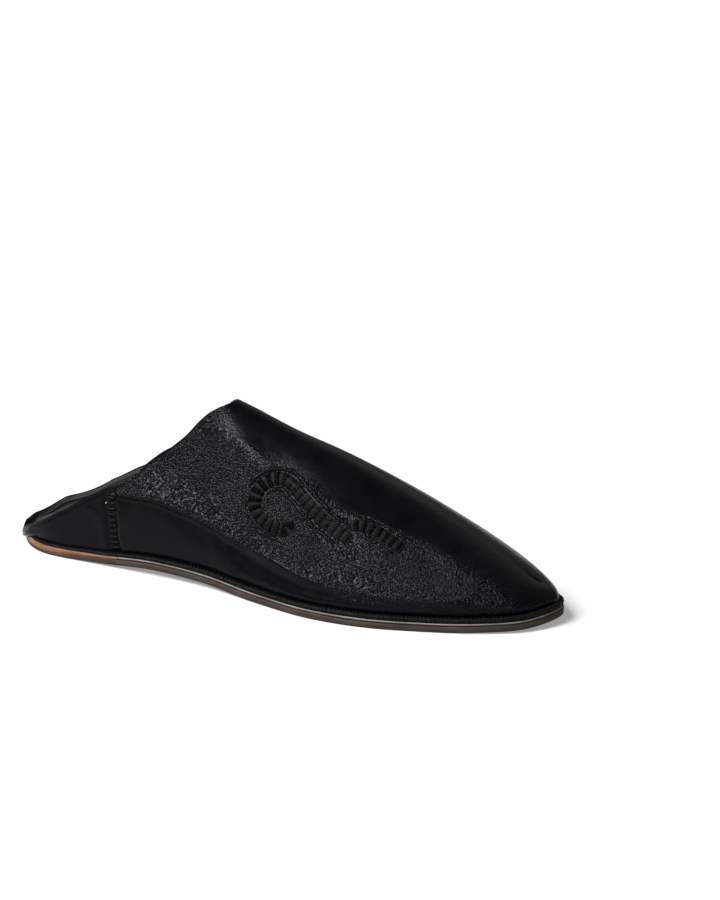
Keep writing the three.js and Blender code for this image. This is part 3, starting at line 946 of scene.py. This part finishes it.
def along(x):
    """How far along the sole x is, from 0 to 1."""
    return float(first_where(lambda s: section(s)[..., AT] > x, np.array(0.0), np.array(1.0)))


def constant(value):
    return lambda x: np.full_like(x, value)


def over_outsole(x):
    return outsole_top(x) + 0.05


build_plate("outsole_fine", 0.0, constant(0.0), outsole_top, ["outsole"])
build_plate("heel_lift_fine", 0.2, over_outsole, constant(SOLE_STACK), ["lift"],
            end=along(LIFT_FRONT))
build_plate("midsole_fine", 0.2, over_outsole, constant(SOLE_STACK), ["outsole", "midsole"],
            start=along(LIFT_FRONT + 0.1), edge=0.4)
build_plate("insole_fine", FEATHER_INSET + WALL + 0.1, constant(SOLE_STACK + GAP),
            lambda x: feather(x) + INSOLE_TOP, ["lining"])


STITCH_PITCH = 1.9
STITCH_WALK = np.array([-0.9, -0.6, -0.2, 0.3, 0.7])  # along the edge, from the upper down to the sole
STITCH_INSET = np.array([2.6, 1.7, 0.9, 0.5, 0.75])
STITCH_RADIUS = 0.45


def build_welt():
    """The black ring between the sole and the upper's sagging foot."""
    s = np.linspace(0, 1, SOLE_COLUMNS + 1)
    row = section(s)
    points, faces, total = [], [], 0
    inside = FEATHER_INSET + WALL
    for side in (OUTER, INNER):
        low = row[:, FLOOR] + SOLE_STACK + 0.05
        high = low + (feather(row[:, AT]) - SOLE_STACK) * WELT_SHOWN - 0.1
        corners = [(inside, low), (0.9, low), (0.4, low + 0.3), (0.4, high - 0.3), (0.9, high), (inside, high)]
        ring = []
        for inset, z in corners + corners[:1]:
            x, y = outline(s, side, inset)
            ring.append(np.stack([x, y, z], -1))
        grid = np.stack(ring, 1)
        faces += grid_faces(*grid.shape[:2], total, side == INNER)
        points.append(grid.reshape(-1, 3))
        total += grid.shape[0] * grid.shape[1]
    make("welt_fine", np.vstack(points), faces, [MATERIALS["welt"]], ["welt"])


def build_welt_stitches():
    """Coarse overcast stitches that hold the upper's foot to the sole, all round."""
    draw = np.random.default_rng(31)
    paths, radii = [], []
    for side in (OUTER, INNER):
        s = np.linspace(0, 1, 1600)
        x, y = outline(s, side, 0.6)
        walked = np.concatenate([[0], np.cumsum(np.hypot(np.diff(x), np.diff(y)))])
        stops = np.arange(0.6, walked[-1], STITCH_PITCH)
        stops = stops + draw.normal(0, 0.18, len(stops))
        for stop in stops:
            at = np.interp(stop + STITCH_WALK, walked, s)
            row = section(at)
            low = row[:, FLOOR] + SOLE_STACK
            top = low + (feather(row[:, AT]) - SOLE_STACK) * WELT_SHOWN
            coarse = 0.35 + 0.65 * ramp(row[2, AT], 50, 80)
            middle = (low[3] + top[3]) / 2
            height = np.array([top[0] + 0.2, top[1] + 0.15, top[2] - 0.3, middle, low[4] + 0.25])
            height -= 0.7 * (1 - coarse)
            inset = STITCH_INSET + draw.normal(0, 0.14)
            line = [np.stack(outline(a, side, i)) for a, i in zip(at, inset)]
            paths.append(np.column_stack([np.array(line), height + draw.normal(0, 0.12)]))
            radii.append(STITCH_RADIUS * coarse * draw.uniform(0.7, 1.3))
    points, faces = tubes(paths, radii)
    make("welt_stitches", points, faces, [MATERIALS["thread"]])


build_welt()
build_welt_stitches()


# ---------------------------------------------------------------- camera, floor and light
# Fitted to the photo: angles in degrees, distance in metres, the aim in last millimetres.
CAMERA_AZIMUTH = 24.985
CAMERA_ELEVATION = 16.857
CAMERA_ROLL = 0.621
CAMERA_DISTANCE = 1.0008
CAMERA_AIM = (168.5, 23.1, 59.4)
CAMERA_LENS = 85.0
SUN_FROM = (-0.37, -0.585, 0.72)
SUN_STRENGTH = 8.0
SUN_WIDTH = 32.0  # degrees, as a large soft lamp
BACKDROP = 0.55  # brightness of the pale card behind
ROOM = 0.03  # and of everything else around
FLOOR_COLOUR = (0.41, 0.41, 0.408)
FLOOR_GLOW = 0.3  # lifts the floor to white
FLOOR_HALF = 12.0  # metres


def build_camera():
    azimuth, elevation, roll = (math.radians(a) for a in (CAMERA_AZIMUTH, CAMERA_ELEVATION, CAMERA_ROLL))
    back = Vector((math.sin(azimuth) * math.cos(elevation), -math.cos(azimuth) * math.cos(elevation),
                   math.sin(elevation)))
    level = Vector((math.cos(azimuth), math.sin(azimuth), 0))
    plumb = back.cross(level)
    right = level * math.cos(roll) + plumb * math.sin(roll)
    turn = Matrix((right, back.cross(right), back)).transposed()
    data = bpy.data.cameras.new("camera")
    data.lens = CAMERA_LENS
    data.sensor_width = 36.0
    data.clip_start, data.clip_end = 0.05, 50.0
    camera = bpy.data.objects.new("camera", data)
    camera.location = Vector(place(CAMERA_AIM)) + back * CAMERA_DISTANCE
    camera.rotation_euler = turn.to_euler()
    bpy.context.scene.collection.objects.link(camera)
    bpy.context.scene.camera = camera


def build_floor():
    made = material("floor", FLOOR_COLOUR, 0.9, specular=0.0)
    shader = made.node_tree.nodes["Principled BSDF"]
    shader.inputs["Emission Color"].default_value = (1, 1, 0.997, 1)
    shader.inputs["Emission Strength"].default_value = FLOOR_GLOW
    mesh = bpy.data.meshes.new("floor")
    far = FLOOR_HALF
    mesh.from_pydata([(-far, -far, 0), (far, -far, 0), (far, far, 0), (-far, far, 0)], [], [(0, 1, 2, 3)])
    mesh.materials.append(made)
    floor = bpy.data.objects.new("floor", mesh)
    bpy.context.scene.collection.objects.link(floor)


def build_sun():
    """The big soft lamp over the slipper, in front and to the left."""
    data = bpy.data.lights.new("overhead", "SUN")
    data.energy = SUN_STRENGTH
    data.angle = math.radians(SUN_WIDTH)
    data.color = (0.99, 0.985, 1.0)
    lamp = bpy.data.objects.new("overhead", data)
    lamp.rotation_euler = Vector(SUN_FROM).to_track_quat("Z", "Y").to_euler()
    bpy.context.scene.collection.objects.link(lamp)


def build_world():
    """A dim room with a pale backdrop low behind the slipper."""
    world = bpy.data.worlds.new("studio")
    bpy.context.scene.world = world
    world.use_nodes = True
    tree = world.node_tree
    background = tree.nodes["Background"]
    background.inputs["Strength"].default_value = 1.0
    direction = tree.nodes.new("ShaderNodeTexCoord").outputs["Generated"]
    parts = tree.nodes.new("ShaderNodeSeparateXYZ")
    tree.links.new(direction, parts.inputs[0])

    def levels(value, low, high, out_low, out_high):
        node = tree.nodes.new("ShaderNodeMapRange")
        node.interpolation_type = "SMOOTHSTEP"
        for socket, number in zip((1, 2, 3, 4), (low, high, out_low, out_high)):
            node.inputs[socket].default_value = number
        tree.links.new(value, node.inputs[0])
        return node.outputs[0]

    def maths(operation, a, b):
        node = tree.nodes.new("ShaderNodeMath")
        node.operation = operation
        for socket, value in enumerate((a, b)):
            if isinstance(value, float):
                node.inputs[socket].default_value = value
            else:
                tree.links.new(value, node.inputs[socket])
        return node.outputs[0]

    behind = levels(parts.outputs["Y"], 0.0, 0.7, 0.0, 1.0)
    low = levels(parts.outputs["Z"], 0.7, 0.97, 1.0, 0.0)
    high = levels(parts.outputs["Z"], 0.15, 0.55, 0.25, 1.0)
    card = maths("MULTIPLY", maths("MULTIPLY", behind, maths("MULTIPLY", low, high)), BACKDROP)
    tree.links.new(maths("ADD", card, ROOM), background.inputs["Color"])


bpy.context.scene.view_settings.view_transform = "Standard"
build_camera()
build_floor()
build_sun()
build_world()
